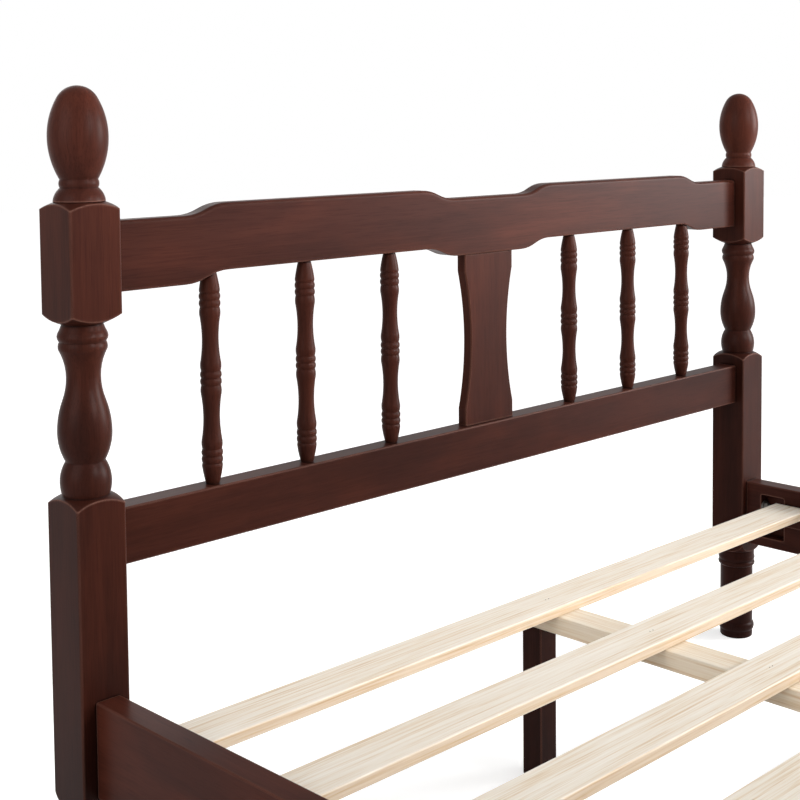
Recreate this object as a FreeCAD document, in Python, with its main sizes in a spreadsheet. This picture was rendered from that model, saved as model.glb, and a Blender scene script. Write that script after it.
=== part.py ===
import FreeCAD, Part
import os
import re
import Sketcher

# Spindle bed: turned head posts with a waved crest rail, six spindles and a centre splat,
# bolted side rails, ledger strips, slats on a centre beam with legs, and a low foot end.
# Millimetres. +Y is the head end, +Z is up, and +X is to the right as seen from the foot.
# The origin is on the floor under the middle of the bed.

SIZES = {
    # overall layout, between post centres
    "post_spacing_across": 1422,
    "post_spacing_along": 1945,
    # square posts and their turned feet, from the floor up
    "post_square": 66.8,
    "post_arris_radius": 2.5,
    "foot_radius": 30,
    "foot_rim_round": 3,
    "foot_base_tall": 13,
    "foot_bead_tall": 16,
    "foot_bead_proud": 3,
    "foot_shaft_tall": 108.5,
    "collar_bead_tall": 10,
    "collar_lower_proud": 2.9,
    "collar_upper_proud": 1.4,
    "collar_groove_radius": 31.6,
    "foot_neck_radius": 32.6,
    "foot_neck_tall": 10.5,
    "foot_shoulder_tall": 19,
    "foot_shoulder_bulge": 3,
    "block_tall": 348.3,
    # turned length between the two blocks of a head post
    "shoulder_tall": 11,
    "shoulder_bulge": 1.3,
    "ball_seat_radius": 28,
    "ball_lower_tall": 16.2,
    "ball_radius": 30.7,
    "ball_upper_tall": 24.9,
    "pinch_radius": 23.5,
    "vase_lower_tall": 34.6,
    "vase_radius": 32.35,
    "vase_upper_tall": 66,
    "vase_full_share": 0.58,
    "waist_radius": 20.45,
    "flare_tall": 33,
    "ring_radius": 28.8,
    "ring_tall": 9.2,
    "ring_proud": 1,
    "bead_seat_radius": 27.5,
    "bead_lower_tall": 6.7,
    "bead_radius": 30.15,
    "bead_upper_tall": 7.1,
    "bead_upper_proud": 0.4,
    "bead_flank_radius": 27.4,
    "neck_tall": 7.2,
    "neck_radius": 24.5,
    "crown_shoulder_tall": 12.3,
    "crown_shoulder_bulge": 0.9,
    "crown_square": 68.8,
    "crown_block_tall": 123,
    "crown_top_tall": 9,
    "crown_top_bulge": 0.5,
    "crown_seat_radius": 30.2,
    # egg finial, on a spigot in the post
    "finial_rim_proud": 0.6,
    "finial_rim_tall": 0.8,
    "finial_dome_tall": 16,
    "finial_dome_bulge": 1.75,
    "finial_ring_radius": 22.4,
    "finial_ring_tall": 9.7,
    "finial_ring_proud": 1.25,
    "egg_lower_tall": 50,
    "egg_radius": 35.6,
    "egg_flank_tall": 46.5,
    "egg_shoulder_radius": 23.4,
    "egg_nose_tall": 13.7,
    "spigot_radius": 8,
    "spigot_long": 30,
    "spigot_clearance": 0.2,
    # crest rail
    "crest_rise": 21.9,
    "crest_tall": 86.2,
    "crest_wave": 14,
    "crest_wave_run": 66,
    "crest_top_outer": 534,
    "crest_top_inner": 112.5,
    "crest_low_outer": 535,
    "crest_low_inner": 105,
    "crest_thick": 26.8,
    "crest_top_round": 5,
    "crest_low_round": 2,
    # lower head rail
    "head_rail_drop": 10.8,
    "head_rail_tall": 70,
    "head_rail_thick": 34,
    "board_edge_round": 2,
    # tenons of the fixed rails
    "tenon_long": 28,
    "tenon_shoulder": 9,
    "tenon_cheek": 6,
    "mortise_clearance": 0.3,
    # spindles
    "spindle_inner_offset": 204.2,
    "spindle_step": 159.9,
    "spindle_end_radius": 8.6,
    "spindle_end_bulge": 0.4,
    "spindle_body_radius": 13.4,
    "spindle_collar_tall": 4.1,
    "spindle_collar_proud": 0.3,
    "spindle_bead_tall": 9,
    "spindle_bead_proud": 1.35,
    "spindle_groove_radius": 12.5,
    "spindle_group_rise": 36.1,
    "spindle_group_step": 100.6,
    "spindle_swell_tall": 13.4,
    "spindle_swell_proud": 0.9,
    "spindle_hollow_radius": 12.9,
    "spindle_waist_radius": 10.7,
    "spindle_tenon_radius": 6,
    "spindle_tenon_long": 16,
    "spindle_housing_deep": 2,
    "spindle_clearance": 0.2,
    # splat
    "splat_half_wide": 53.9,
    "splat_hollow": 13.1,
    "splat_straight_end": 26,
    "splat_thick": 17,
    "splat_edge_ease": 1.5,
    "splat_tenon_long": 14,
    "splat_tenon_shoulder": 8,
    "splat_tenon_cheek": 3,
    # side rails and their bolt pockets
    "side_rail_rise": 1,
    "side_rail_tall": 117,
    "side_rail_thick": 33.7,
    "side_rail_setback": 19.1,
    "pocket_from_end": 30.6,
    "pocket_long": 48,
    "pocket_rise": 18,
    "pocket_tall": 80,
    "pocket_deep": 22,
    "pocket_corner_radius": 3,
    # side rail bolts
    "bolt_radius": 4,
    "bolt_clearance": 0.5,
    "bolt_rise": 42,
    "bolt_step": 32,
    "bolt_head_radius": 7.5,
    "bolt_head_tall": 5.5,
    "counterbore_radius": 9.5,
    "counterbore_deep": 8,
    "bolt_past_nut": 6,
    "nut_tall": 6.5,
    "nut_corner_radius": 7.5,
    "nut_clearance": 0.1,
    "washer_radius": 10,
    "washer_thick": 3,
    # slats, ledger strips, centre beam and its legs
    "slat_count": 10,
    "slat_wide": 68,
    "slat_thick": 15,
    "slat_edge_round": 2,
    "slat_drop": 29.5,
    "slat_end_margin": 95,
    "slat_end_gap": 1,
    "ledger_tall": 20,
    "ledger_thick": 20,
    "ledger_edge_round": 1,
    "ledger_pocket_gap": 2,
    "beam_wide": 51,
    "beam_thick": 27,
    "beam_edge_round": 2,
    "beam_end_margin": 87,
    "leg_square": 36,
    "leg_arris_radius": 1.5,
    "leg_end_margin": 105.4,
    # foot end
    "foot_block_tall": 158,
    "foot_cap_bulge": 1.3,
    "foot_dome_tall": 7,
    "foot_rail_tall": 117,
    "foot_rail_thick": 33.7,
    "foot_tenon_bolt_gap": 2.5,
    # brads and screws
    "brad_wide": 1.6,
    "brad_long": 34,
    "brad_clearance": 0.1,
    "brad_pair_gap": 7,
    "brad_pair_offset": -10,
    "brad_end_margin": 10,
    "screw_radius": 2,
    "screw_clearance": 0.2,
    "screw_head_radius": 4,
    "screw_head_tall": 2.5,
    "ledger_screw_long": 38,
    "ledger_screw_count": 4,
    "ledger_screw_margin": 80,
    "leg_screw_long": 70,
}

# Places worked out from the sizes: heights from the floor unless named otherwise.
PLACES = {
    "half_across": "post_spacing_across / 2",
    "half_along": "post_spacing_along / 2",
    "half_post": "post_square / 2",
    "post_inner": "half_across - half_post",
    "crown_inner": "half_across - crown_square / 2",
    "blank_radius": "half_post * sqrt(2)",
    "crown_radius": "crown_square / 2 * sqrt(2)",
    "foot_bead_high": "foot_base_tall + foot_bead_tall",
    "collar_low": "foot_bead_high + foot_shaft_tall",
    "collar_high": "collar_low + 2 * collar_bead_tall",
    "foot_neck_high": "collar_high + foot_neck_tall",
    "block_low": "foot_neck_high + foot_shoulder_tall",
    "block_high": "block_low + block_tall",
    "ball_low": "block_high + shoulder_tall",
    "ball_widest": "ball_low + ball_lower_tall",
    "pinch_height": "ball_widest + ball_upper_tall",
    "vase_widest": "pinch_height + vase_lower_tall",
    "waist_height": "vase_widest + vase_upper_tall",
    "ring_low": "waist_height + flare_tall",
    "bead_low": "ring_low + ring_tall",
    "bead_widest": "bead_low + bead_lower_tall",
    "bead_high": "bead_widest + bead_upper_tall",
    "neck_high": "bead_high + neck_tall",
    "crown_low": "neck_high + crown_shoulder_tall",
    "crown_high": "crown_low + crown_block_tall",
    "crown_top": "crown_high + crown_top_tall",
    "crest_low": "crown_low + crest_rise",
    "crest_raised": "crest_low + crest_wave",
    "head_rail_high": "block_high - head_rail_drop",
    "head_rail_low": "head_rail_high - head_rail_tall",
    "spindle_tall": "crest_raised - head_rail_high",
    "side_rail_low": "block_low + side_rail_rise",
    "side_rail_high": "side_rail_low + side_rail_tall",
    "side_rail_outer": "half_across + half_post - side_rail_setback",
    "side_rail_inner": "side_rail_outer - side_rail_thick",
    "side_rail_middle": "side_rail_outer - side_rail_thick / 2",
    "rail_end": "half_along - half_post",
    "pocket_start": "rail_end - pocket_from_end",
    "pocket_end": "pocket_start - pocket_long",
    "bolt_across": "side_rail_inner + pocket_deep / 2",
    "bolt_height": "side_rail_low + bolt_rise",
    "slat_high": "side_rail_high - slat_drop",
    "slat_low": "slat_high - slat_thick",
    "slat_first": "half_along - slat_end_margin - slat_wide / 2",
    "slat_half_long": "side_rail_inner - slat_end_gap",
    "beam_low": "slat_low - beam_thick",
    "ledger_low": "slat_low - ledger_tall",
    "ledger_end": "pocket_end - ledger_pocket_gap",
    "ledger_middle": "side_rail_inner - ledger_thick / 2",
    "brad_end_across": "slat_half_long - brad_end_margin",
    "leg_end": "half_along - leg_end_margin",
    "foot_tenon_long": "bolt_across - bolt_radius - bolt_clearance - foot_tenon_bolt_gap - post_inner",
    "foot_block_high": "block_low + foot_block_tall",
    "foot_cap_low": "foot_block_high + shoulder_tall",
    "foot_post_top": "foot_cap_low + foot_dome_tall",
}

doc = FreeCAD.newDocument("SpindleBed")


def fill_sheet(name, entries):
    """A sheet with one named cell for each entry."""
    table = doc.addObject("Spreadsheet::Sheet", name)
    for row, (alias, content) in enumerate(entries, start=1):
        table.set(f"A{row}", alias)
        table.set(f"B{row}", content)
        table.setAlias(f"B{row}", alias)
    doc.recompute()
    return table


def with_owners(formula, owners):
    """The formula with the name of its sheet put before each alias."""
    def owned(found):
        word = found[0]
        return f"{owners[word]}.{word}" if word in owners else word
    return re.sub(r"[a-z]\w+", owned, formula)


SIZE_OWNERS = dict.fromkeys(SIZES, "Sizes")
OWNERS = SIZE_OWNERS | dict.fromkeys(PLACES, "Places")

sizes = fill_sheet("Sizes", [(alias, str(size)) for alias, size in SIZES.items()])
fill_sheet("Places", [(alias, f"={with_owners(formula, SIZE_OWNERS)}") for alias, formula in PLACES.items()])
finished = []


def number(formula):
    """The present value of a formula."""
    return float(sizes.evalExpression(with_owners(formula, OWNERS)))


def bind(item, target, formula):
    """Tie a property or constraint to a formula."""
    item.setExpression(target, with_owners(formula, OWNERS))


def place(item, across, along, up):
    """Put an item at a place given as three formulas."""
    spot = FreeCAD.Vector(number(across), number(along), number(up))
    item.Placement = FreeCAD.Placement(spot, item.Placement.Rotation)
    for axis, formula in zip("xyz", (across, along, up)):
        bind(item, f"Placement.Base.{axis}", formula)


def finish(item, node):
    """Name a finished piece and keep it for export."""
    item.Label = node
    finished.append(item)


# ------------------------------------------------------------------ outlines


def arc_radius(start, end, bulge):
    """Radius of the arc between two corners that stands bulge off its chord."""
    run = f"(({end[0]}) - ({start[0]}))"
    rise = f"(({end[1]}) - ({start[1]}))"
    return f"({run}^2 + {rise}^2) / (8 * abs({bulge})) + abs({bulge}) / 2"


def tangent_bulge(across, along):
    """Bulge of an arc that starts along one direction and drifts across it."""
    chord = f"sqrt(({across})^2 + ({along})^2)"
    return f"({chord} / 2 * ({across}) / ({chord} + ({along})))"


def outline_sketch(body, name, role, corners):
    """A closed outline of (across, up, bulge of the edge to the next corner).

    A bulge stands to the right of the way round, so outward when that is anticlockwise.
    """
    sketch = body.newObject("Sketcher::SketchObject", name)
    plane = next(feature for feature in body.Origin.OriginFeatures if feature.Role == role)
    sketch.AttachmentSupport = [(plane, "")]
    sketch.MapMode = "FlatFace"
    spots = [FreeCAD.Vector(number(across), number(up), 0) for across, up, _ in corners]
    edges = []
    ends = []
    limits = []
    formulas = {}
    for index, (across, up, bulge) in enumerate(corners):
        following = (index + 1) % len(corners)
        start, end, lift = spots[index], spots[following], number(bulge)
        if lift == 0:
            edges.append(Part.LineSegment(start, end))
            ends.append((1, 2))
            continue
        chord = end - start
        outward = FreeCAD.Vector(chord.y, -chord.x, 0).normalize()
        edges.append(Part.Arc(start, (start + end) * 0.5 + outward * lift, end))
        ends.append((1, 2) if lift > 0 else (2, 1))
        formula = arc_radius(corners[index], corners[following], bulge)
        formulas[len(limits)] = formula
        limits.append(Sketcher.Constraint("Radius", index, number(formula)))
    for index, (across, up, _) in enumerate(corners):
        before = index - 1 if index else len(corners) - 1
        limits.append(Sketcher.Constraint("Coincident", before, ends[before][1], index, ends[index][0]))
        spot = spots[index]
        for kind, value, formula in (("DistanceX", spot.x, across), ("DistanceY", spot.y, up)):
            formulas[len(limits)] = formula
            limits.append(Sketcher.Constraint(kind, -1, 1, index, ends[index][0], value))
    sketch.addGeometry(edges)
    sketch.addConstraint(limits)
    for place_in_list, formula in formulas.items():
        bind(sketch, f"Constraints[{place_in_list}]", formula)
    return sketch


def rounded_rectangle(wide, tall, radius):
    """Corners of a rectangle with rounded corners, centred on the sketch origin."""
    bulge = f"({radius}) * (1 - sqrt(0.5))"
    corners = []
    for across, up, upright_first in ((1, -1, False), (1, 1, True), (-1, 1, False), (-1, -1, True)):
        edge_x = f"{across} * ({wide}) / 2"
        edge_z = f"{up} * ({tall}) / 2"
        inset_x = f"{across} * (({wide}) / 2 - ({radius}))"
        inset_z = f"{up} * (({tall}) / 2 - ({radius}))"
        on_side = (edge_x, inset_z)
        on_level = (inset_x, edge_z)
        first, second = (on_side, on_level) if upright_first else (on_level, on_side)
        corners += [(*first, bulge), (*second, "0")]
    return corners


# ------------------------------------------------------------------ solids


def turned_body(name, stations):
    """A lathe-turned piece from its (radius, height, bulge) stations, lowest first."""
    body = doc.addObject("PartDesign::Body", name)
    outline = [("0", stations[0][1], "0"), *stations]
    if number(stations[-1][0]) > 0:
        outline.append(("0", stations[-1][1], "0"))
    sketch = outline_sketch(body, f"{name}_outline", "XZ_Plane", outline)
    turning = body.newObject("PartDesign::Revolution", f"{name}_turning")
    turning.Profile = sketch
    turning.ReferenceAxis = (sketch, ["V_Axis"])
    turning.Angle = 360
    return body


def board_body(name, role, corners, thickness, middle=True):
    """A board or bar: an outline on an origin plane, made as thick as told."""
    body = doc.addObject("PartDesign::Body", name)
    sketch = outline_sketch(body, f"{name}_outline", role, corners)
    board = body.newObject("PartDesign::Pad", f"{name}_board")
    board.Profile = sketch
    board.Midplane = middle
    bind(board, "Length", thickness)
    return body


def ease_edges(body, kind, size, wanted):
    """Fillet or chamfer those edges of the body's last feature whose middle point is wanted."""
    doc.recompute()
    base = body.Tip
    names = []
    for index, edge in enumerate(base.Shape.Edges, start=1):
        middle = edge.valueAt((edge.FirstParameter + edge.LastParameter) / 2)
        if wanted(middle):
            names.append(f"Edge{index}")
    easing = body.newObject(f"PartDesign::{kind}", f"{body.Name}_{size}")
    easing.Base = (base, names)
    bind(easing, "Radius" if kind == "Fillet" else "Size", size)


def add_tenon(body, name, lengths, low_corner):
    """A block joined to a body, from its three lengths and its low corner."""
    block = body.newObject("PartDesign::AdditiveBox", name)
    for side, formula in zip(("Length", "Width", "Height"), lengths):
        bind(block, side, formula)
    place(block, *low_corner)


def block(name, lengths, middle):
    """A square-edged block from its three lengths and its middle point."""
    solid = doc.addObject("Part::Box", name)
    for side, formula in zip(("Length", "Width", "Height"), lengths):
        bind(solid, side, formula)
    place(solid, *(f"({centre}) - ({length}) / 2" for centre, length in zip(middle, lengths)))
    return solid


def rod(name, radius, length, start, direction=(0, 0, 1)):
    """A round bar from its start along a direction."""
    bar = doc.addObject("Part::Cylinder", name)
    bind(bar, "Radius", radius)
    bind(bar, "Height", length)
    bar.Placement.Rotation = FreeCAD.Rotation(FreeCAD.Vector(0, 0, 1), FreeCAD.Vector(*direction))
    place(bar, *start)
    return bar


def combine(kind, name, pieces):
    """A Part::MultiFuse or Part::Compound of several pieces."""
    result = doc.addObject(kind, name)
    setattr(result, "Links" if kind == "Part::Compound" else "Shapes", pieces)
    return result


def joined(name, pieces):
    """One piece as it is, or several as one solid."""
    return pieces[0] if len(pieces) == 1 else combine("Part::MultiFuse", name, pieces)


def cut(name, base, tools):
    """Base with the tools taken out of it."""
    result = doc.addObject("Part::Cut", name)
    result.Base = base
    result.Tool = joined(f"{name}_cutters", tools)
    return result


# ------------------------------------------------------------------ fittings used by several pieces

SIDES = {"left": -1, "right": 1}
ENDS = {"head": 1, "foot": -1}


def bolt_heights():
    """Heights of the two bolts of one side rail joint."""
    return ("bolt_height", "bolt_height + bolt_step")


def bolt_bores(name, side, end):
    """Bores of one side rail joint, through the post and the rail's end."""
    across = f"{side} * bolt_across"
    back = f"{end} * (half_along + half_post)"
    tools = []
    for index, height in enumerate(bolt_heights()):
        tools.append(rod(f"{name}_bore_{index}", "bolt_radius + bolt_clearance",
                         "post_square + pocket_from_end", (across, back, height), (0, -end, 0)))
        tools.append(rod(f"{name}_counterbore_{index}", "counterbore_radius",
                         "counterbore_deep", (across, back, height), (0, -end, 0)))
    return tools


def slat_places():
    """Middle of each slat along the bed, from the head end."""
    pitch = "(2 * slat_first / (slat_count - 1))"
    return [f"slat_first - {index} * {pitch}" for index in range(round(number("slat_count")))]


def brad(name, across, along, clearance="0"):
    """A square brad, or its hole, driven down from a slat's top."""
    wide = f"brad_wide + 2 * ({clearance})"
    return block(name, (wide, wide, "brad_long"), (across, along, "slat_high - brad_long / 2"))


BEAM_BRADS = ["brad_pair_offset - brad_pair_gap / 2", "brad_pair_offset + brad_pair_gap / 2"]


# ------------------------------------------------------------------ posts

FOOT = [
    ("foot_radius - foot_rim_round", "0", "foot_rim_round * (1 - sqrt(0.5))"),
    ("foot_radius", "foot_rim_round", "0"),
    ("foot_radius", "foot_base_tall", "foot_bead_proud"),
    ("foot_radius", "foot_bead_high", "0"),
    ("foot_radius", "collar_low", "collar_lower_proud"),
    ("collar_groove_radius", "collar_low + collar_bead_tall", "collar_upper_proud"),
    ("foot_neck_radius", "collar_high", "0"),
    ("foot_neck_radius", "foot_neck_high", "foot_shoulder_bulge"),
    ("blank_radius", "block_low", "0"),
]

VASE_DROP = "(vase_radius - waist_radius)"
VASE_BULGE = tangent_bulge(VASE_DROP, "vase_upper_tall")

BALUSTER = [
    ("blank_radius", "block_high", "shoulder_bulge"),
    ("ball_seat_radius", "ball_low", tangent_bulge("ball_radius - ball_seat_radius", "ball_lower_tall")),
    ("ball_radius", "ball_widest", tangent_bulge("ball_radius - pinch_radius", "ball_upper_tall")),
    ("pinch_radius", "pinch_height", tangent_bulge("vase_radius - pinch_radius", "vase_lower_tall")),
    ("vase_radius", "vase_widest", f"vase_full_share * {VASE_BULGE}"),
    (f"vase_radius - vase_full_share * {VASE_DROP}", "vase_widest + vase_full_share * vase_upper_tall",
     f"(vase_full_share - 1) * {VASE_BULGE}"),
    ("waist_radius", "waist_height", f"-1 * {tangent_bulge('ring_radius - waist_radius', 'flare_tall')}"),
    ("ring_radius", "ring_low", "ring_proud"),
    ("bead_seat_radius", "bead_low", tangent_bulge("bead_radius - bead_seat_radius", "bead_lower_tall")),
    ("bead_radius", "bead_widest", "bead_upper_proud"),
    ("bead_flank_radius", "bead_high", "0"),
    ("neck_radius", "neck_high", "crown_shoulder_bulge"),
    ("crown_radius", "crown_low", "0"),
    ("crown_radius", "crown_high", "crown_top_bulge"),
    ("crown_seat_radius", "crown_top", "0"),
]

SHORT_TOP = [
    ("blank_radius", "foot_block_high", "foot_cap_bulge"),
    ("ball_seat_radius", "foot_cap_low", tangent_bulge("foot_dome_tall", "ball_seat_radius")),
    ("0", "foot_post_top", "0"),
]


def squared_post(name, across, along, stations, stretches):
    """A post turned from square timber, which keeps its flats where the turning is widest.

    The stretches are (square, low, high), from the floor up.
    """
    turning = turned_body(f"{name}_lathe", stations)
    place(turning, across, along, "0")
    blanks = []
    for index, (square, low, high) in enumerate(stretches):
        corners = rounded_rectangle(square, square, "post_arris_radius")
        blank = board_body(f"{name}_blank_{index}", "XY_Plane", corners, f"{high} - {low}", middle=False)
        place(blank, across, along, low)
        blanks.append(blank)
    squared = doc.addObject("Part::Common", f"{name}_squared")
    squared.Base = turning
    squared.Tool = joined(f"{name}_blanks", blanks)
    return squared


def mortise(name, side, along, low, tall, thick, reach="tenon_long", face="post_inner"):
    """The hole in a post's inner face for a rail's tenon."""
    gap = "2 * mortise_clearance"
    deep = f"{reach} + mortise_clearance"
    lengths = (deep, f"{thick} - 2 * tenon_cheek + {gap}", f"{tall} - 2 * tenon_shoulder + {gap}")
    across = f"{side} * ({face} + ({deep}) / 2)"
    return block(name, lengths, (across, along, f"{low} + ({tall}) / 2"))


def head_posts():
    stretches = [("post_square", "0", "neck_high"), ("crown_square", "neck_high", "crown_top")]
    for word, side in SIDES.items():
        node = f"headboard_post_{word}"
        across = f"{side} * half_across"
        squared = squared_post(node, across, "half_along", FOOT + BALUSTER, stretches)
        tools = bolt_bores(node, side, 1)
        tools.append(mortise(f"{node}_rail_mortise", side, "half_along", "head_rail_low", "head_rail_tall",
                             "head_rail_thick"))
        tools.append(mortise(f"{node}_crest_mortise", side, "half_along", "crest_low", "crest_tall",
                             "crest_thick", face="crown_inner"))
        tools.append(rod(f"{node}_spigot_bore", "spigot_radius + spigot_clearance",
                         "spigot_long + spigot_clearance",
                         (across, "half_along", "crown_top - spigot_long - spigot_clearance")))
        finish(cut(node, squared, tools), node)


def foot_posts():
    for word, side in SIDES.items():
        node = f"foot_post_{word}"
        squared = squared_post(node, f"{side} * half_across", "-1 * half_along", FOOT + SHORT_TOP,
                               [("post_square", "0", "foot_post_top")])
        tools = bolt_bores(node, side, -1)
        tools.append(mortise(f"{node}_mortise", side, "-1 * half_along", "side_rail_low", "foot_rail_tall",
                             "foot_rail_thick", "foot_tenon_long"))
        finish(cut(node, squared, tools), node)


def finials():
    ring_low = "finial_rim_tall + finial_dome_tall"
    ring_high = f"{ring_low} + finial_ring_tall"
    widest = f"{ring_high} + egg_lower_tall"
    shoulder = f"{widest} + egg_flank_tall"
    stations = [
        ("spigot_radius", "-1 * spigot_long", "0"),
        ("spigot_radius", "0", "0"),
        ("crown_seat_radius", "0", "0"),
        ("crown_seat_radius + finial_rim_proud", "finial_rim_tall", "finial_dome_bulge"),
        ("finial_ring_radius", ring_low, "finial_ring_proud"),
        ("finial_ring_radius", ring_high, tangent_bulge("egg_radius - finial_ring_radius", "egg_lower_tall")),
        ("egg_radius", widest, tangent_bulge("egg_radius - egg_shoulder_radius", "egg_flank_tall")),
        ("egg_shoulder_radius", shoulder, tangent_bulge("egg_nose_tall", "egg_shoulder_radius")),
        ("0", f"{shoulder} + egg_nose_tall", "0"),
    ]
    for word, side in SIDES.items():
        node = f"finial_{word}"
        body = turned_body(node, stations)
        place(body, f"{side} * half_across", "half_along", "crown_top")
        finish(body, node)


# ------------------------------------------------------------------ headboard


def crest_corners():
    """Outline of the crest rail, anticlockwise from its lower left end."""
    high = "(crest_low + crest_tall)"
    wave_bulge = f"{tangent_bulge('crest_wave', 'crest_wave_run')} / 2"

    def waved_edge(base, outer, inner, way):
        """Corners of one long edge, run along way (1 or -1), which rises and falls by turns."""
        corners = []
        bends = [f"{-way} * {outer}", f"{-way} * {inner}", f"{way} * {inner}", f"{way} * {outer}"]
        for index, centre in enumerate(bends):
            rising = index % 2 == 0
            before, after = ("0", "crest_wave") if rising else ("crest_wave", "0")
            outward = way if rising else -way
            corners += [
                (f"{centre} - {way} * crest_wave_run / 2", f"{base} + {before}", f"{outward} * {wave_bulge}"),
                (centre, f"{base} + crest_wave / 2", f"{-outward} * {wave_bulge}"),
                (f"{centre} + {way} * crest_wave_run / 2", f"{base} + {after}", "0"),
            ]
        return corners

    return [
        ("-1 * crown_inner", "crest_low", "0"),
        *waved_edge("crest_low", "crest_low_outer", "crest_low_inner", 1),
        ("crown_inner", "crest_low", "0"),
        ("crown_inner", high, "0"),
        *waved_edge(high, "crest_top_outer", "crest_top_inner", -1),
        ("-1 * crown_inner", high, "0"),
    ]


def rail_tenons(body, low, tall, thick, reach="tenon_long", end="post_inner"):
    """Tenons at both ends of a rail that lies between two posts."""
    lengths = (reach, f"{thick} - 2 * tenon_cheek", f"{tall} - 2 * tenon_shoulder")
    front = f"tenon_cheek - ({thick}) / 2"
    base = f"{low} + tenon_shoulder"
    add_tenon(body, f"{body.Name}_left_tenon", lengths, (f"-1 * {end} - {reach}", front, base))
    add_tenon(body, f"{body.Name}_right_tenon", lengths, (end, front, base))


def spindle_offsets():
    """Places of the spindles across the bed, left to right."""
    outward = [f"(spindle_inner_offset + {index} * spindle_step)" for index in range(3)]
    return [f"-1 * {offset}" for offset in reversed(outward)] + outward


def crest_rail():
    body = board_body("crest_rail_board", "XZ_Plane", crest_corners(), "crest_thick")
    middle_height = number("crest_low + (crest_tall + crest_wave) / 2")
    face_depth = number("crest_thick / 4")
    end_limit = number("crown_inner - crest_low_round")

    def on_long_edge(middle):
        return abs(middle.y) > face_depth and abs(middle.x) < end_limit

    ease_edges(body, "Fillet", "crest_top_round",
               lambda middle: on_long_edge(middle) and middle.z > middle_height)
    ease_edges(body, "Fillet", "crest_low_round",
               lambda middle: on_long_edge(middle) and middle.z < middle_height)
    rail_tenons(body, "crest_low", "crest_tall", "crest_thick", end="crown_inner")
    place(body, "0", "half_along", "0")
    tools = []
    for index, across in enumerate(spindle_offsets(), start=1):
        tools.append(rod(f"crest_housing_{index}", "spindle_end_radius + spindle_clearance",
                         "crest_wave + spindle_housing_deep", (across, "half_along", "crest_low")))
        tools.append(rod(f"crest_bore_{index}", "spindle_tenon_radius + spindle_clearance",
                         "crest_wave + spindle_tenon_long + spindle_clearance",
                         (across, "half_along", "crest_low")))
    tools.append(splat_mortise("crest_splat_mortise", "crest_low + splat_tenon_long / 2"))
    finish(cut("crest_rail", body, tools), "crest_rail")


def splat_mortise(name, up):
    """The hole for one tenon of the splat."""
    gap = "2 * mortise_clearance"
    lengths = (f"2 * (splat_half_wide - splat_tenon_shoulder) + {gap}",
               f"splat_thick - 2 * splat_tenon_cheek + {gap}", f"splat_tenon_long + {gap}")
    return block(name, lengths, ("0", "half_along", up))


def headboard_lower_rail():
    body = board_body("headboard_lower_rail_board", "YZ_Plane",
                      rounded_rectangle("head_rail_thick", "head_rail_tall", "board_edge_round"),
                      "2 * post_inner")
    rail_tenons(body, "-1 * head_rail_tall / 2", "head_rail_tall", "head_rail_thick")
    place(body, "0", "half_along", "head_rail_low + head_rail_tall / 2")
    tools = []
    for index, across in enumerate(spindle_offsets(), start=1):
        deep = "spindle_tenon_long + spindle_clearance"
        tools.append(rod(f"lower_rail_bore_{index}", "spindle_tenon_radius + spindle_clearance", deep,
                         (across, "half_along", f"head_rail_high - ({deep})")))
    tools.append(splat_mortise("lower_rail_splat_mortise", "head_rail_high - splat_tenon_long / 2"))
    finish(cut("headboard_lower_rail", body, tools), "headboard_lower_rail")


def splat():
    tall = "(crest_low - head_rail_high)"
    straight_high = f"{tall} - splat_straight_end"
    corners = [
        ("-1 * splat_half_wide", "0", "0"),
        ("splat_half_wide", "0", "0"),
        ("splat_half_wide", "splat_straight_end", "-1 * splat_hollow"),
        ("splat_half_wide", straight_high, "0"),
        ("splat_half_wide", tall, "0"),
        ("-1 * splat_half_wide", tall, "0"),
        ("-1 * splat_half_wide", straight_high, "-1 * splat_hollow"),
        ("-1 * splat_half_wide", "splat_straight_end", "0"),
    ]
    body = board_body("splat", "XZ_Plane", corners, "splat_thick")
    face_depth = number("splat_thick / 4")
    side_limit = number("splat_half_wide - splat_hollow - splat_edge_ease")
    ease_edges(body, "Chamfer", "splat_edge_ease",
               lambda middle: abs(middle.y) > face_depth and abs(middle.x) > side_limit)
    lengths = ("2 * (splat_half_wide - splat_tenon_shoulder)", "splat_thick - 2 * splat_tenon_cheek",
               "splat_tenon_long + splat_straight_end")
    corner = ("splat_tenon_shoulder - splat_half_wide", "splat_tenon_cheek - splat_thick / 2")
    add_tenon(body, "splat_lower_tenon", lengths, (*corner, "-1 * splat_tenon_long"))
    add_tenon(body, "splat_upper_tenon", lengths, (*corner, straight_high))
    place(body, "0", "half_along", "head_rail_high")
    finish(body, "splat")


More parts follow.
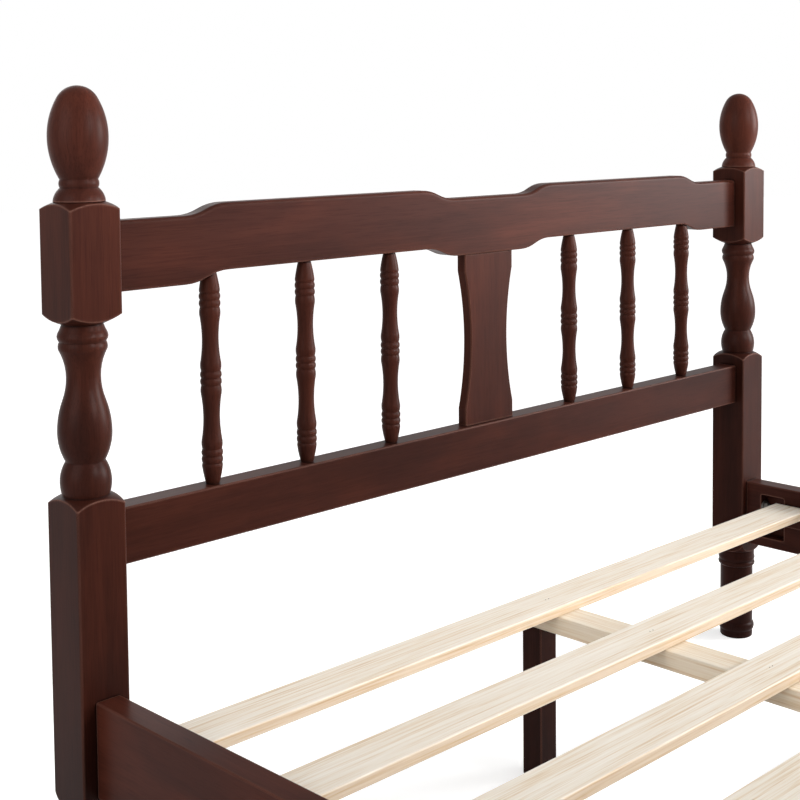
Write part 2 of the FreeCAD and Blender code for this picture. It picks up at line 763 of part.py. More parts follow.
def spindle_stations():
    """Lathe outline of a spindle, from the lower rail's top: three groups of two beads."""
    groups = [f"(spindle_group_rise + {index} * spindle_group_step)" for index in range(3)]
    tail = "(spindle_bead_tall + spindle_collar_tall)"
    hollow = tangent_bulge("spindle_hollow_radius - spindle_waist_radius",
                           "spindle_group_step / 2 - spindle_bead_tall - spindle_swell_tall")
    stations = [
        ("spindle_tenon_radius", "-1 * spindle_tenon_long", "0"),
        ("spindle_tenon_radius", "0", "0"),
        ("spindle_end_radius", "0", "spindle_end_bulge"),
        ("spindle_body_radius", f"{groups[0]} - {tail}", "spindle_collar_proud"),
    ]
    for index, centre in enumerate(groups):
        last = index == len(groups) - 1
        stations += [
            ("spindle_groove_radius", f"{centre} - spindle_bead_tall", "spindle_bead_proud"),
            ("spindle_groove_radius", centre, "spindle_bead_proud"),
            ("spindle_groove_radius", f"{centre} + spindle_bead_tall",
             "spindle_collar_proud" if last else "spindle_swell_proud"),
        ]
        if not last:
            edge = "spindle_bead_tall + spindle_swell_tall"
            stations += [
                ("spindle_hollow_radius", f"{centre} + {edge}", f"-1 * {hollow}"),
                ("spindle_waist_radius", f"{centre} + spindle_group_step / 2", f"-1 * {hollow}"),
                ("spindle_hollow_radius", f"{groups[index + 1]} - ({edge})", "spindle_swell_proud"),
            ]
    stations += [
        ("spindle_body_radius", f"{groups[-1]} + {tail}", "spindle_end_bulge"),
        ("spindle_end_radius", "spindle_tall", "0"),
        ("spindle_end_radius", "spindle_tall + spindle_housing_deep", "0"),
        ("spindle_tenon_radius", "spindle_tall + spindle_housing_deep", "0"),
        ("spindle_tenon_radius", "spindle_tall + spindle_tenon_long", "0"),
    ]
    return stations


def spindles():
    for index, across in enumerate(spindle_offsets(), start=1):
        node = f"spindle_{index}"
        body = turned_body(node, spindle_stations())
        place(body, across, "half_along", "head_rail_high")
        finish(body, node)


# ------------------------------------------------------------------ rails


def ledger_screw_places():
    """Places of a ledger's screws along the bed."""
    count = round(number("ledger_screw_count"))
    first = "(ledger_end - ledger_screw_margin)"
    step = f"(2 * {first} / (ledger_screw_count - 1))"
    return [f"{first} - {index} * {step}" for index in range(count)]


LEDGER_SCREW_HEIGHT = "ledger_low + ledger_tall / 2"


def ledger_screw(name, side, along, clearance="0"):
    """A screw, or its hole, from a ledger's inner face into the side rail."""
    start = (f"{side} * (side_rail_inner - ledger_thick)", along, LEDGER_SCREW_HEIGHT)
    way = (side, 0, 0)
    shank = rod(f"{name}_shank", f"screw_radius + ({clearance})", "ledger_screw_long", start, way)
    head = rod(f"{name}_head", f"screw_head_radius + ({clearance})", "screw_head_tall", start, way)
    return combine("Part::MultiFuse", name, [shank, head])


def side_rails():
    for word, side in SIDES.items():
        node = f"side_rail_{word}"
        body = board_body(f"{node}_board", "XZ_Plane",
                          rounded_rectangle("side_rail_thick", "side_rail_tall", "board_edge_round"),
                          "2 * rail_end")
        place(body, f"{side} * side_rail_middle", "0", "side_rail_low + side_rail_tall / 2")
        tools = []
        for end_word, end in ENDS.items():
            pocket = board_body(f"{node}_{end_word}_pocket", "YZ_Plane",
                                rounded_rectangle("pocket_long", "pocket_tall", "pocket_corner_radius"),
                                "2 * pocket_deep")
            place(pocket, f"{side} * side_rail_inner", f"{end} * (pocket_start + pocket_end) / 2",
                  "side_rail_low + pocket_rise + pocket_tall / 2")
            tools.append(pocket)
            for index, height in enumerate(bolt_heights()):
                tools.append(rod(f"{node}_{end_word}_bore_{index}", "bolt_radius + bolt_clearance",
                                 "pocket_from_end + pocket_long / 2",
                                 (f"{side} * bolt_across", f"{end} * rail_end", height), (0, -end, 0)))
        for index, along in enumerate(ledger_screw_places()):
            tools.append(rod(f"{node}_screw_hole_{index}", "screw_radius + screw_clearance",
                             "ledger_screw_long - ledger_thick + screw_clearance",
                             (f"{side} * side_rail_inner", along, LEDGER_SCREW_HEIGHT), (side, 0, 0)))
        finish(cut(node, body, tools), node)


def foot_rail():
    body = board_body("foot_rail", "YZ_Plane",
                      rounded_rectangle("foot_rail_thick", "foot_rail_tall", "board_edge_round"),
                      "2 * post_inner")
    rail_tenons(body, "-1 * foot_rail_tall / 2", "foot_rail_tall", "foot_rail_thick", "foot_tenon_long")
    place(body, "0", "-1 * half_along", "side_rail_low + foot_rail_tall / 2")
    finish(body, "foot_rail")


def rail_hardware():
    """Bolts, and the nuts and washers in the pockets, of the four side rail joints."""
    for end_word, end in ENDS.items():
        for word, side in SIDES.items():
            joint = f"{end_word}_{word}"
            across = f"{side} * bolt_across"
            seat = f"{end} * (half_along + half_post - counterbore_deep)"
            washer_face = f"{end} * pocket_start"
            nut_face = f"{end} * (pocket_start - washer_thick)"
            bolts = []
            nuts = []
            for index, height in enumerate(bolt_heights()):
                shank = rod(f"bolt_{joint}_{index}_shank", "bolt_radius",
                            "post_square - counterbore_deep + pocket_from_end + washer_thick + nut_tall"
                            " + bolt_past_nut", (across, seat, height), (0, -end, 0))
                head = rod(f"bolt_{joint}_{index}_head", "bolt_head_radius", "bolt_head_tall",
                           (across, seat, height), (0, end, 0))
                bolts.append(combine("Part::MultiFuse", f"bolt_{joint}_{index}", [shank, head]))
                bore = rod(f"nut_{joint}_{index}_bore", "bolt_radius + nut_clearance",
                           "washer_thick + nut_tall", (across, washer_face, height), (0, -end, 0))
                washer = rod(f"washer_{joint}_{index}_disc", "washer_radius", "washer_thick",
                             (across, washer_face, height), (0, -end, 0))
                nut = doc.addObject("Part::Prism", f"nut_{joint}_{index}_hexagon")
                nut.Polygon = 6
                bind(nut, "Circumradius", "nut_corner_radius")
                bind(nut, "Height", "nut_tall")
                nut.Placement.Rotation = FreeCAD.Rotation(FreeCAD.Vector(0, 0, 1), FreeCAD.Vector(0, -end, 0))
                place(nut, across, nut_face, height)
                nuts.append(cut(f"washer_{joint}_{index}", washer, [bore]))
                nuts.append(cut(f"nut_{joint}_{index}", nut, [bore]))
            finish(combine("Part::Compound", f"rail_bolts_{joint}", bolts), f"rail_bolts_{joint}")
            finish(combine("Part::Compound", f"rail_nuts_{joint}", nuts), f"rail_nuts_{joint}")


# ------------------------------------------------------------------ slats and what carries them


def slats():
    section = rounded_rectangle("slat_wide", "slat_thick", "slat_edge_round")
    for index, along in enumerate(slat_places(), start=1):
        node = f"slat_{index:02}"
        body = board_body(f"{node}_board", "YZ_Plane", section, "2 * slat_half_long")
        place(body, "0", along, "slat_low + slat_thick / 2")
        across = BEAM_BRADS + ["-1 * brad_end_across", "brad_end_across"]
        tools = [brad(f"{node}_brad_hole_{row}", spot, along, "brad_clearance")
                 for row, spot in enumerate(across)]
        finish(cut(node, body, tools), node)


def ledgers():
    section = rounded_rectangle("ledger_thick", "ledger_tall", "ledger_edge_round")
    for word, side in SIDES.items():
        node = f"slat_ledger_{word}"
        body = board_body(f"{node}_strip", "XZ_Plane", section, "2 * ledger_end")
        place(body, f"{side} * ledger_middle", "0", "ledger_low + ledger_tall / 2")
        tools = [brad(f"{node}_brad_hole_{index}", f"{side} * brad_end_across", along, "brad_clearance")
                 for index, along in enumerate(slat_places())]
        tools += [ledger_screw(f"{node}_screw_hole_{index}", side, along, "screw_clearance")
                  for index, along in enumerate(ledger_screw_places())]
        finish(cut(node, body, tools), node)


LEGS = {"head": "leg_end", "middle": "0", "foot": "-1 * leg_end"}


def leg_screw(name, along, clearance="0"):
    """A screw, or its hole, down through the beam into a leg."""
    shank = rod(f"{name}_shank", f"screw_radius + ({clearance})", "leg_screw_long",
                ("0", along, "slat_low - leg_screw_long"))
    head = rod(f"{name}_head", f"screw_head_radius + ({clearance})", "screw_head_tall",
               ("0", along, "slat_low - screw_head_tall"))
    return combine("Part::MultiFuse", name, [shank, head])


def centre_beam():
    body = board_body("centre_beam_bar", "XZ_Plane",
                      rounded_rectangle("beam_wide", "beam_thick", "beam_edge_round"),
                      "2 * (half_along - beam_end_margin)")
    place(body, "0", "0", "beam_low + beam_thick / 2")
    tools = [brad(f"beam_brad_hole_{row}_{index}", across, along, "brad_clearance")
             for row, along in enumerate(slat_places()) for index, across in enumerate(BEAM_BRADS)]
    tools += [leg_screw(f"beam_screw_hole_{word}", along, "screw_clearance") for word, along in LEGS.items()]
    finish(cut("centre_beam", body, tools), "centre_beam")


def centre_legs():
    square = rounded_rectangle("leg_square", "leg_square", "leg_arris_radius")
    for word, along in LEGS.items():
        node = f"centre_leg_{word}"
        body = board_body(f"{node}_post", "XY_Plane", square, "beam_low", middle=False)
        place(body, "0", along, "0")
        finish(cut(node, body, [leg_screw(f"{node}_screw_hole", along, "screw_clearance")]), node)


def slat_fixings():
    """Brads of all slats, and the screws of the ledgers and legs."""
    beam_brads = [brad(f"beam_brad_{row}_{index}", across, along)
                  for row, along in enumerate(slat_places()) for index, across in enumerate(BEAM_BRADS)]
    finish(combine("Part::Compound", "slat_beam_brads", beam_brads), "slat_beam_brads")
    for word, side in SIDES.items():
        end_brads = [brad(f"end_brad_{word}_{row}", f"{side} * brad_end_across", along)
                     for row, along in enumerate(slat_places())]
        finish(combine("Part::Compound", f"slat_end_brads_{word}", end_brads), f"slat_end_brads_{word}")
        screws = [ledger_screw(f"ledger_screw_{word}_{index}", side, along)
                  for index, along in enumerate(ledger_screw_places())]
        finish(combine("Part::Compound", f"ledger_screws_{word}", screws), f"ledger_screws_{word}")
    leg_screws = [leg_screw(f"leg_screw_{word}", along) for word, along in LEGS.items()]
    finish(combine("Part::Compound", "centre_leg_screws", leg_screws), "centre_leg_screws")


# ------------------------------------------------------------------ build, check and write

head_posts()
finials()
crest_rail()
headboard_lower_rail()
splat()
spindles()
side_rails()
foot_posts()
foot_rail()
rail_hardware()
slats()
ledgers()
centre_beam()
centre_legs()
slat_fixings()
doc.recompute()

for item in doc.Objects:
    if "Invalid" in item.State or "Error" in item.State:
        raise RuntimeError(f"{item.Label} did not build: {item.State}")
for piece in finished:
    if piece.Shape.isNull() or not piece.Shape.isValid():
        raise RuntimeError(f"{piece.Label} has no sound shape")

os.makedirs("parts", exist_ok=True)
for piece in finished:
    piece.Shape.exportStep(f"parts/{piece.Label}.step")
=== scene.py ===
import math

import bpy
from mathutils import Matrix, Vector

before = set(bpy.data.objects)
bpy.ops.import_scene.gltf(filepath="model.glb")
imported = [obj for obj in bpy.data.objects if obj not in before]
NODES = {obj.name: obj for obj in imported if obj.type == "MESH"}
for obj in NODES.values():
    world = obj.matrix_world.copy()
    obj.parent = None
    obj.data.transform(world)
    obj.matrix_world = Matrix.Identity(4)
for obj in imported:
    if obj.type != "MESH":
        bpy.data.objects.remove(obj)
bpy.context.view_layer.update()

# Lengths are in metres and angles in degrees. Colours are linear, and a ramp is a list of
# (position, colour) stops. A wood pattern is a noise: how far it is stretched along the grain,
# then its scale, detail, roughness and distortion.

WHITE = (1, 1, 1)

# ------------------------------------------------------------------ stained wood

STAIN_LIGHT = (0.053, 0.0149, 0.0094)
STAIN_DARK = (0.036, 0.0101, 0.0065)
# The lighter colour of thin edges: part wear, part painted highlight.
STAIN_WEAR_AND_HIGHLIGHT = (0.215, 0.100, 0.074)
# How strong the stain is: in general; on pieces with their grain along Y, a lighter copy, painted light that
# offsets part of the painted shade low down; and on the finials, a lighter copy, painted light.
STAIN_DEPTH = 1.35
STAIN_DEPTH_ALONG_LIT = 2.5
STAIN_DEPTH_FINIAL_LIT = 1.65

STAIN_FIGURE = (14, 30, 4, 0.5, 0.5)
STAIN_STREAKS = (24, 330, 3, 0.55, 0.2)
STAIN_PORES = (30, 900, 2, 0.5, 0)
STAIN_BLOTCHES = (3, 10, 3, 0.5, 0.4)
STAIN_SMEARS = (14, 9, 3, 0.5, 0)
STAIN_FIGURE_SHARE = 0.65
STAIN_TONE_DARK, STAIN_TONE_LIGHT = 0.34, 0.64

STAIN_BLOTCH_RAMP = [(0.36, (0.74, 0.78, 0.84)), (0.62, (1.08, 1.04, 1))]
STAIN_PORE_RAMP = [(0.34, (0.80, 0.80, 0.80)), (0.47, WHITE)]
# Painted shade by height above the floor: the stain is darkened near it, standing in for the lower parts
# getting less light.
STAIN_HEIGHT_SHADE_RAMP = [(0.20, (0.43, 0.42, 0.42)), (0.60, (0.64, 0.64, 0.64)), (1.0, WHITE)]

# Edges are painted lighter where the wood is thin behind its surface, more so along the streaks: part wear,
# part painted highlight on the rounded arrises.
STAIN_EDGE_REACH = 0.0032
STAIN_EDGE_SAMPLES = 12
STAIN_EDGE_THICKNESS = (0.94, 0.62)
STAIN_EDGE_WEAR_AND_HIGHLIGHT = (0.0, 0.80)
STAIN_WEAR_AND_HIGHLIGHT_BASE = 0.35

# Painted shade: the stain is darkened in creases, where less light reaches.
STAIN_CREASE_REACH = 0.0055
STAIN_CREASE_SAMPLES = 10
STAIN_CREASE_SHADE_RAMP = [(0.42, (0.14, 0.12, 0.12)), (0.88, WHITE)]
STAIN_CREASE_SHADE_SHARE = 0.92

STAIN_SMEAR_RANGE = (0.3, 0.7)
STAIN_ROUGHNESS = (0.33, 0.41)
STAIN_SPECULAR = 0.042
STAIN_EDGE_ROUND = 0.0022
STAIN_ROUND_SAMPLES = 6
STAIN_PORE_SHARE = 0.6
STAIN_BUMP, STAIN_BUMP_DEPTH = 0.07, 0.0004

# ------------------------------------------------------------------ bare pine

PINE_RINGS = (22, 34, 4, 0.55, 0.5)
PINE_STREAKS = (50, 330, 3, 0.6, 0.15)
PINE_FIBRES = (60, 1400, 2, 0.5, 0)
PINE_RING_SHARE = 0.22
PINE_RAMP = [(0.36, (0.86, 0.80, 0.71)), (0.49, (0.815, 0.74, 0.635)),
             (0.57, (0.76, 0.645, 0.50)), (0.66, (0.66, 0.50, 0.33))]
PINE_WARM = (0.93, 0.875, 0.79)
# Painted shade: the pine is darkened in creases, where less light reaches.
PINE_CREASE_REACH = 0.012
PINE_CREASE_SAMPLES = 8
PINE_CREASE_SHADE_RAMP = [(0.2, (0.72, 0.66, 0.58)), (0.9, WHITE)]
PINE_ROUGHNESS = 0.60
PINE_SPECULAR = 0.35
PINE_EDGE_ROUND = 0.0010
PINE_ROUND_SAMPLES = 4
PINE_FIBRE_SHARE = 0.5
PINE_BUMP, PINE_BUMP_DEPTH = 0.12, 0.0005

# How warm each pine is, and the painted shade on its upright sides, which are darkened by their facing as if
# less lit.
SLAT_WARMTH, SLAT_SIDE_SHADE = 0.0, (0.76, 0.665, 0.565)
BEAM_WARMTH, BEAM_SIDE_SHADE = 0.6, (1.0, 0.97, 0.93)

# ------------------------------------------------------------------ steel

ZINC, ZINC_ROUGHNESS = (0.16, 0.15, 0.14), 0.50
BROWNED, BROWNED_ROUGHNESS = (0.008, 0.006, 0.005), 0.80
STEEL_MOTTLING_SCALE = 420
STEEL_MOTTLING_DARK, STEEL_MOTTLING_LIGHT = 0.3, 0.7
STEEL_DARKENED = 0.75
STEEL_SMOOTHER, STEEL_ROUGHER = 0.08, 0.10

# ------------------------------------------------------------------ stage

FLOOR_REACH = 14.0
FLOOR_SPECKLE_SCALE = 3.0
FLOOR_SPECKLE_RAMP = [(0.3, (0.80, 0.80, 0.80)), (0.7, (0.83, 0.83, 0.83))]
# The floor's lift to white, by distance from the bed's middle.
FLOOR_LIFT_DISTANCE = (2.2, 5.5)
FLOOR_LIFT = (0.55, 0.86)

# The world's strength as a light, and what is added where it is seen directly.
WORLD_STRENGTH = 0.28
WORLD_SHOWN_MORE = 0.72

HEADBOARD = (0.0, 0.95, 0.8)
HEADBOARD_LEFT = (-0.7, 0.95, 0.7)
FULL_SPREAD = 180
SOFTBOXES = {
    "right_softbox": {"spot": (3.3, -1.2, 1.5), "target": HEADBOARD, "wide": 1.5, "tall": 1.7,
                      "watts": 185, "spread": FULL_SPREAD},
    "left_softbox": {"spot": (-3.2, 0.6, 1.7), "target": HEADBOARD_LEFT, "wide": 2.2, "tall": 2.2,
                     "watts": 48, "spread": FULL_SPREAD},
    "front_softbox": {"spot": (0.6, -1.6, 1.8), "target": HEADBOARD, "wide": 1.6, "tall": 0.8,
                      "watts": 8, "spread": 45},
    "back_softbox": {"spot": (0.6, 4.0, 2.2), "target": HEADBOARD, "wide": 2.0, "tall": 2.0,
                     "watts": 14, "spread": FULL_SPREAD},
}

# The camera that took the photograph, in the bed's own frame. Its sensor is in millimetres, and its
# focal length and horizon are in the photograph's pixels.
CAMERA_SPOT = Vector((-1.61105, -0.48171, 0.98586))
CAMERA_YAW = 44.505
CAMERA_PITCH = -3.584
CAMERA_ROLL = -0.558
IMAGE_SIDE = 800
FOCAL_PIXELS = 1418.57
HORIZON_CENTRE = 210.53
SENSOR = 36.0
CLIP_START = 0.05
CLIP_END = 60

# ------------------------------------------------------------------ which piece has which finish

# The axis of the grain in each stained piece. Spindles and finials have theirs upright, as set in dress.
GRAIN = {
    "headboard_post_left": "Z", "headboard_post_right": "Z", "foot_post_left": "Z", "foot_post_right": "Z",
    "splat": "Z",
    "crest_rail": "X", "headboard_lower_rail": "X", "foot_rail": "X",
    "side_rail_left": "Y", "side_rail_right": "Y", "slat_ledger_left": "Y", "slat_ledger_right": "Y",
    "centre_leg_head": "Z", "centre_leg_middle": "Z", "centre_leg_foot": "Z",
}
# Shifts that give every piece its own part of a pattern.
PIECE_SHIFT = {"X": 7.3, "Y": 3.1, "Z": 5.7}


# ------------------------------------------------------------------ node helpers


class Nodes:
    """A short way to write the node tree of a new material, or of a given world."""

    def __init__(self, owner):
        self.owner = bpy.data.materials.new(owner) if isinstance(owner, str) else owner
        self.owner.use_nodes = True
        self.tree = self.owner.node_tree
        self.tree.nodes.clear()

    def add(self, kind, inputs=None, **settings):
        node = self.tree.nodes.new(kind)
        for key, value in settings.items():
            setattr(node, key, value)
        for key, value in (inputs or {}).items():
            self.feed(node, key, value)
        return node

    def feed(self, node, key, value):
        """Link a socket, or set its value."""
        if isinstance(value, bpy.types.NodeSocket):
            self.tree.links.new(value, node.inputs[key])
        else:
            node.inputs[key].default_value = value

    def math(self, operation, first, second=0.5, clamp=False):
        node = self.add("ShaderNodeMath", {0: first, 1: second}, operation=operation, use_clamp=clamp)
        return node.outputs[0]

    def weigh(self, first, second, share):
        """The sum of two values, of which the first has the given share."""
        return self.math("ADD", self.math("MULTIPLY", first, share), self.math("MULTIPLY", second, 1 - share))

    def rescale(self, value, source, target):
        """A value taken from one range to another, and held there."""
        node = self.add("ShaderNodeMapRange", {"Value": value, "From Min": source[0], "From Max": source[1],
                                               "To Min": target[0], "To Max": target[1]})
        return node.outputs[0]

    def ramp(self, factor, stops, smooth=True):
        """A colour ramp from its stops."""
        node = self.add("ShaderNodeValToRGB", {"Fac": factor})
        node.color_ramp.interpolation = "EASE" if smooth else "LINEAR"
        elements = node.color_ramp.elements
        for element, (position, colour) in zip(elements, (stops[0], stops[-1])):
            element.position = position
            element.color = (*colour, 1)
        for position, colour in stops[1:-1]:
            elements.new(position).color = (*colour, 1)
        return node.outputs["Color"]

    def mix(self, factor, first, second, blend="MIX"):
        """A colour mix."""
        node = self.add("ShaderNodeMix", data_type="RGBA", blend_type=blend)
        self.feed(node, 0, factor)
        for socket, value in ((6, first), (7, second)):
            self.feed(node, socket, (*value, 1) if isinstance(value, tuple) else value)
        return node.outputs[2]

    def tint(self, first, second):
        """One colour multiplied by another."""
        return self.mix(1.0, first, second, "MULTIPLY")

    def noise(self, vector, scale, detail=3.0, roughness=0.5, distortion=0.0):
        node = self.add("ShaderNodeTexNoise", {"Vector": vector, "Scale": scale, "Detail": detail,
                                               "Roughness": roughness, "Distortion": distortion})
        return node.outputs["Fac"]

    def spot(self):
        """The place on the piece, in metres of the bed's frame."""
        return self.add("ShaderNodeTexCoord").outputs["Object"]

    def upward(self, vector):
        """The upright part of a vector."""
        return self.add("ShaderNodeSeparateXYZ", {"Vector": vector}).outputs["Z"]

    def openness(self, reach, samples, inside=False):
        """One in the open, and less in a crease. Inside, less where the piece is thin, as at its edges."""
        node = self.add("ShaderNodeAmbientOcclusion", {"Distance": reach}, samples=samples, inside=inside)
        return node.outputs["AO"]

    def rounded(self, radius, samples):
        """The surface's normal, with its edges rounded."""
        return self.add("ShaderNodeBevel", {"Radius": radius}, samples=samples).outputs[0]

    def pattern(self, axis, stretch, *noise):
        """A noise along the grain, which differs from piece to piece."""
        piece = self.add("ShaderNodeObjectInfo").outputs["Random"]
        shifts = {key: self.math("MULTIPLY", piece, length) for key, length in PIECE_SHIFT.items()}
        shift = self.add("ShaderNodeCombineXYZ", shifts).outputs[0]
        scale = [1.0 / stretch if key == axis else 1.0 for key in "XYZ"]
        moved = self.add("ShaderNodeVectorMath", {0: self.spot(), 1: shift}, operation="ADD").outputs[0]
        scaled = self.add("ShaderNodeVectorMath", {0: moved, 1: scale}, operation="MULTIPLY").outputs[0]
        return self.noise(scaled, *noise)

    def surface(self, colour, roughness, specular, normal, relief, bump, bump_depth):
        """The finished material, with a fine relief."""
        bumped = self.add("ShaderNodeBump", {"Strength": bump, "Distance": bump_depth,
                                             "Height": relief, "Normal": normal})
        shader = self.add("ShaderNodeBsdfPrincipled", {
            "Base Color": colour, "Roughness": roughness, "Normal": bumped.outputs[0],
            "Specular IOR Level": specular})
        return self.finish(shader.outputs[0])

    def finish(self, shader):
        output = self.add("ShaderNodeOutputMaterial")
        self.tree.links.new(shader, output.inputs["Surface"])
        return self.owner


# ------------------------------------------------------------------ materials


def stained_wood(axis, depth):
    """Dark red-brown stain under a thin satin lacquer, with its grain along one axis."""
    wood = Nodes(f"stained_wood_{axis}_{round(depth * 100)}")
    streaks = wood.pattern(axis, *STAIN_STREAKS)
    pores = wood.pattern(axis, *STAIN_PORES)
    tone = wood.weigh(wood.pattern(axis, *STAIN_FIGURE), streaks, STAIN_FIGURE_SHARE)
    light, dark = ([depth * part for part in stain] for stain in (STAIN_LIGHT, STAIN_DARK))
    colour = wood.ramp(tone, [(STAIN_TONE_DARK, dark), (STAIN_TONE_LIGHT, light)])
    colour = wood.tint(colour, wood.ramp(wood.pattern(axis, *STAIN_BLOTCHES), STAIN_BLOTCH_RAMP))
    # Painted shade: darker towards the floor, by height.
    colour = wood.tint(colour, wood.ramp(wood.upward(wood.spot()), STAIN_HEIGHT_SHADE_RAMP, smooth=False))
    colour = wood.tint(colour, wood.ramp(pores, STAIN_PORE_RAMP))
    thickness = wood.openness(STAIN_EDGE_REACH, STAIN_EDGE_SAMPLES, inside=True)
    # Part wear, part painted highlight: thin edges are lightened.
    worn = wood.rescale(thickness, STAIN_EDGE_THICKNESS, STAIN_EDGE_WEAR_AND_HIGHLIGHT)
    worn = wood.math("MULTIPLY", worn, wood.math("ADD", streaks, STAIN_WEAR_AND_HIGHLIGHT_BASE))
    colour = wood.mix(worn, colour, STAIN_WEAR_AND_HIGHLIGHT)
    # Painted shade in creases.
    crease_shade = wood.ramp(wood.openness(STAIN_CREASE_REACH, STAIN_CREASE_SAMPLES), STAIN_CREASE_SHADE_RAMP)
    colour = wood.mix(STAIN_CREASE_SHADE_SHARE, colour, wood.tint(colour, crease_shade))
    roughness = wood.rescale(wood.pattern(axis, *STAIN_SMEARS), STAIN_SMEAR_RANGE, STAIN_ROUGHNESS)
    relief = wood.weigh(pores, streaks, STAIN_PORE_SHARE)
    normal = wood.rounded(STAIN_EDGE_ROUND, STAIN_ROUND_SAMPLES)
    return wood.surface(colour, roughness, STAIN_SPECULAR, normal, relief, STAIN_BUMP, STAIN_BUMP_DEPTH)


def bare_pine(axis, warmth, side_shade):
    """Planed pine: pale, with fine lengthwise streaks. Warmth is how far it goes to the warm tone."""
    wood = Nodes(f"bare_pine_{axis}_{round(warmth * 100)}")
    streaks = wood.pattern(axis, *PINE_STREAKS)
    tone = wood.weigh(wood.pattern(axis, *PINE_RINGS), streaks, PINE_RING_SHARE)
    colour = wood.ramp(tone, PINE_RAMP)
    colour = wood.mix(warmth, colour, wood.tint(colour, PINE_WARM))
    upness = wood.upward(wood.add("ShaderNodeNewGeometry").outputs["Normal"])
    # Painted shade: upright faces are darkened by how far they turn from facing up.
    shaded_sides = wood.math("SUBTRACT", 1.0, wood.math("ABSOLUTE", upness), clamp=True)
    colour = wood.mix(shaded_sides, colour, wood.tint(colour, side_shade))
    # Painted shade in creases.
    crease_shade = wood.ramp(wood.openness(PINE_CREASE_REACH, PINE_CREASE_SAMPLES), PINE_CREASE_SHADE_RAMP)
    colour = wood.tint(colour, crease_shade)
    relief = wood.weigh(wood.pattern(axis, *PINE_FIBRES), streaks, PINE_FIBRE_SHARE)
    normal = wood.rounded(PINE_EDGE_ROUND, PINE_ROUND_SAMPLES)
    return wood.surface(colour, PINE_ROUGHNESS, PINE_SPECULAR, normal, relief, PINE_BUMP, PINE_BUMP_DEPTH)


def dull_steel(name, colour, roughness):
    """Zinc-plated or browned steel with faint mottling."""
    steel = Nodes(name)
    mottling = steel.noise(steel.spot(), STEEL_MOTTLING_SCALE)
    darkened = tuple(STEEL_DARKENED * part for part in colour)
    tone = steel.ramp(mottling, [(STEEL_MOTTLING_DARK, darkened), (STEEL_MOTTLING_LIGHT, colour)])
    worn = steel.rescale(mottling, (0, 1), (roughness - STEEL_SMOOTHER, roughness + STEEL_ROUGHER))
    shader = steel.add("ShaderNodeBsdfPrincipled", {"Base Color": tone, "Metallic": 1.0, "Roughness": worn})
    return steel.finish(shader.outputs[0])


def shown_directly(nodes):
    """One for the camera's rays and their reflections and refractions, and nothing for light on the bed."""
    path = nodes.add("ShaderNodeLightPath")
    mirrored = nodes.math("MAXIMUM", path.outputs["Is Glossy Ray"], path.outputs["Is Transmission Ray"])
    return nodes.math("MAXIMUM", path.outputs["Is Camera Ray"], mirrored)


def pale_floor():
    """White floor that keeps shadows, and meets the white of the background."""
    floor = Nodes("pale_floor")
    spot = floor.spot()
    speckle = floor.ramp(floor.noise(spot, FLOOR_SPECKLE_SCALE, 2), FLOOR_SPECKLE_RAMP)
    matt = floor.add("ShaderNodeBsdfDiffuse", {"Color": speckle})
    distance = floor.add("ShaderNodeVectorMath", {0: spot}, operation="LENGTH").outputs["Value"]
    level = floor.rescale(distance, FLOOR_LIFT_DISTANCE, FLOOR_LIFT)
    lift = floor.add("ShaderNodeEmission", {"Color": (*WHITE, 1),
                                            "Strength": floor.math("MULTIPLY", shown_directly(floor), level)})
    both = floor.add("ShaderNodeAddShader", {0: matt.outputs[0], 1: lift.outputs[0]})
    return floor.finish(both.outputs[0])


def dress():
    """Give every node of the bed its finish."""
    stained = {
        "X": stained_wood("X", STAIN_DEPTH),
        # The low Y pieces get a lighter copy: painted light against the painted shade low down.
        "Y": stained_wood("Y", STAIN_DEPTH_ALONG_LIT),
        "Z": stained_wood("Z", STAIN_DEPTH),
    }
    # The finials get a lighter copy: painted light.
    stained_finial_lit = stained_wood("Z", STAIN_DEPTH_FINIAL_LIT)
    slat_pine = bare_pine("X", SLAT_WARMTH, SLAT_SIDE_SHADE)
    beam_pine = bare_pine("Y", BEAM_WARMTH, BEAM_SIDE_SHADE)
    zinc = dull_steel("zinc_steel", ZINC, ZINC_ROUGHNESS)
    browned = dull_steel("browned_steel", BROWNED, BROWNED_ROUGHNESS)
    for name, node in NODES.items():
        if name.startswith("finial_"):
            finish = stained_finial_lit
        elif name in GRAIN:
            finish = stained[GRAIN[name]]
        elif name.startswith("spindle_"):
            finish = stained["Z"]
        elif name == "centre_beam":
            finish = beam_pine
        elif name.startswith("slat_") and name[-2:].isdigit():
            finish = slat_pine
        elif "brads" in name:
            finish = browned
        else:
            finish = zinc
        node.data.materials.clear()
        node.data.materials.append(finish)


# ------------------------------------------------------------------ stage, light and camera


def set_floor():
    mesh = bpy.data.meshes.new("floor")
    corners = [(across * FLOOR_REACH, along * FLOOR_REACH, 0)
               for across, along in ((-1, -1), (1, -1), (1, 1), (-1, 1))]
    mesh.from_pydata(corners, [], [(0, 1, 2, 3)])
    floor = bpy.data.objects.new("floor", mesh)
    bpy.context.scene.collection.objects.link(floor)
    mesh.materials.append(pale_floor())


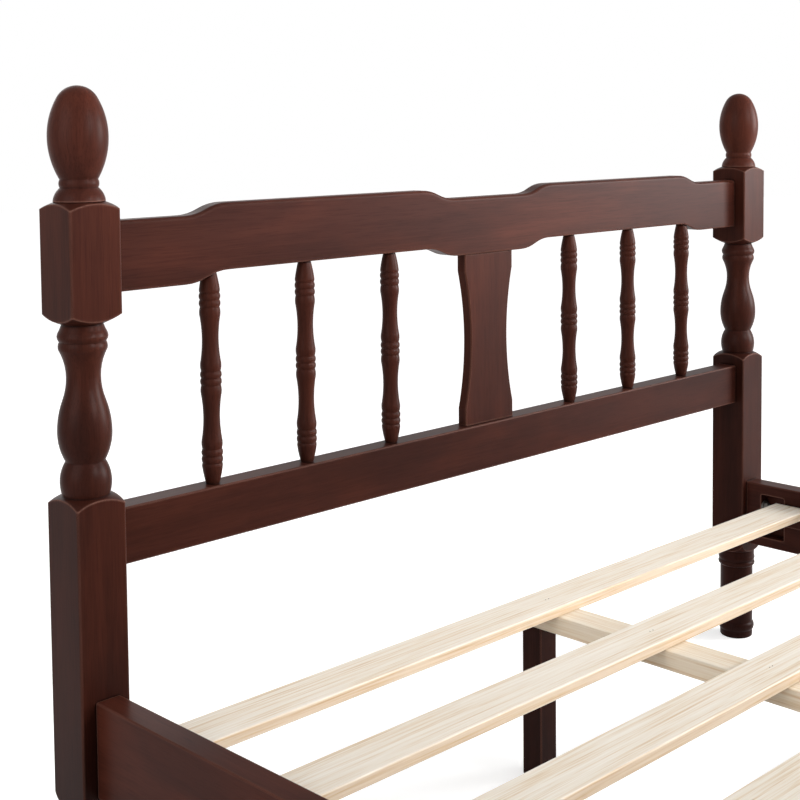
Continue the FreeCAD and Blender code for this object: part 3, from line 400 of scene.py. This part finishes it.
def set_world():
    world = bpy.data.worlds.new("studio")
    bpy.context.scene.world = world
    studio = Nodes(world)
    strength = studio.add("ShaderNodeMath", {0: shown_directly(studio), 1: WORLD_SHOWN_MORE,
                                             2: WORLD_STRENGTH}, operation="MULTIPLY_ADD")
    background = studio.add("ShaderNodeBackground", {"Color": (*WHITE, 1), "Strength": strength.outputs[0]})
    output = studio.add("ShaderNodeOutputWorld")
    studio.tree.links.new(background.outputs[0], output.inputs["Surface"])


def add_softbox(name, spot, target, wide, tall, watts, spread):
    """A rectangular softbox that faces a target."""
    lamp = bpy.data.lights.new(name, "AREA")
    lamp.shape = "RECTANGLE"
    lamp.size = wide
    lamp.size_y = tall
    lamp.energy = watts
    lamp.spread = math.radians(spread)
    holder = bpy.data.objects.new(name, lamp)
    holder.location = spot
    holder.visible_camera = False
    aim = Vector(target) - Vector(spot)
    holder.rotation_euler = aim.to_track_quat("-Z", "Y").to_euler()
    bpy.context.scene.collection.objects.link(holder)


def set_camera():
    yaw, pitch, roll = (math.radians(angle) for angle in (CAMERA_YAW, CAMERA_PITCH, CAMERA_ROLL))
    ahead = Vector((math.sin(yaw) * math.cos(pitch), math.cos(yaw) * math.cos(pitch), math.sin(pitch)))
    level = Vector((math.cos(yaw), -math.sin(yaw), 0))
    above = level.cross(ahead)
    right = math.cos(roll) * level + math.sin(roll) * above
    up = -math.sin(roll) * level + math.cos(roll) * above
    data = bpy.data.cameras.new("camera")
    data.sensor_width = SENSOR
    data.sensor_fit = "HORIZONTAL"
    data.lens = FOCAL_PIXELS / IMAGE_SIDE * SENSOR
    data.shift_y = -(IMAGE_SIDE / 2 - HORIZON_CENTRE) / IMAGE_SIDE
    data.clip_start = CLIP_START
    data.clip_end = CLIP_END
    camera = bpy.data.objects.new("camera", data)
    pose = Matrix((right, up, -ahead)).transposed().to_4x4()
    pose.translation = CAMERA_SPOT
    camera.matrix_world = pose
    bpy.context.scene.collection.objects.link(camera)
    bpy.context.scene.camera = camera


dress()
set_floor()
set_world()
for name, settings in SOFTBOXES.items():
    add_softbox(name, **settings)
set_camera()
bpy.context.scene.view_settings.view_transform = "Standard"
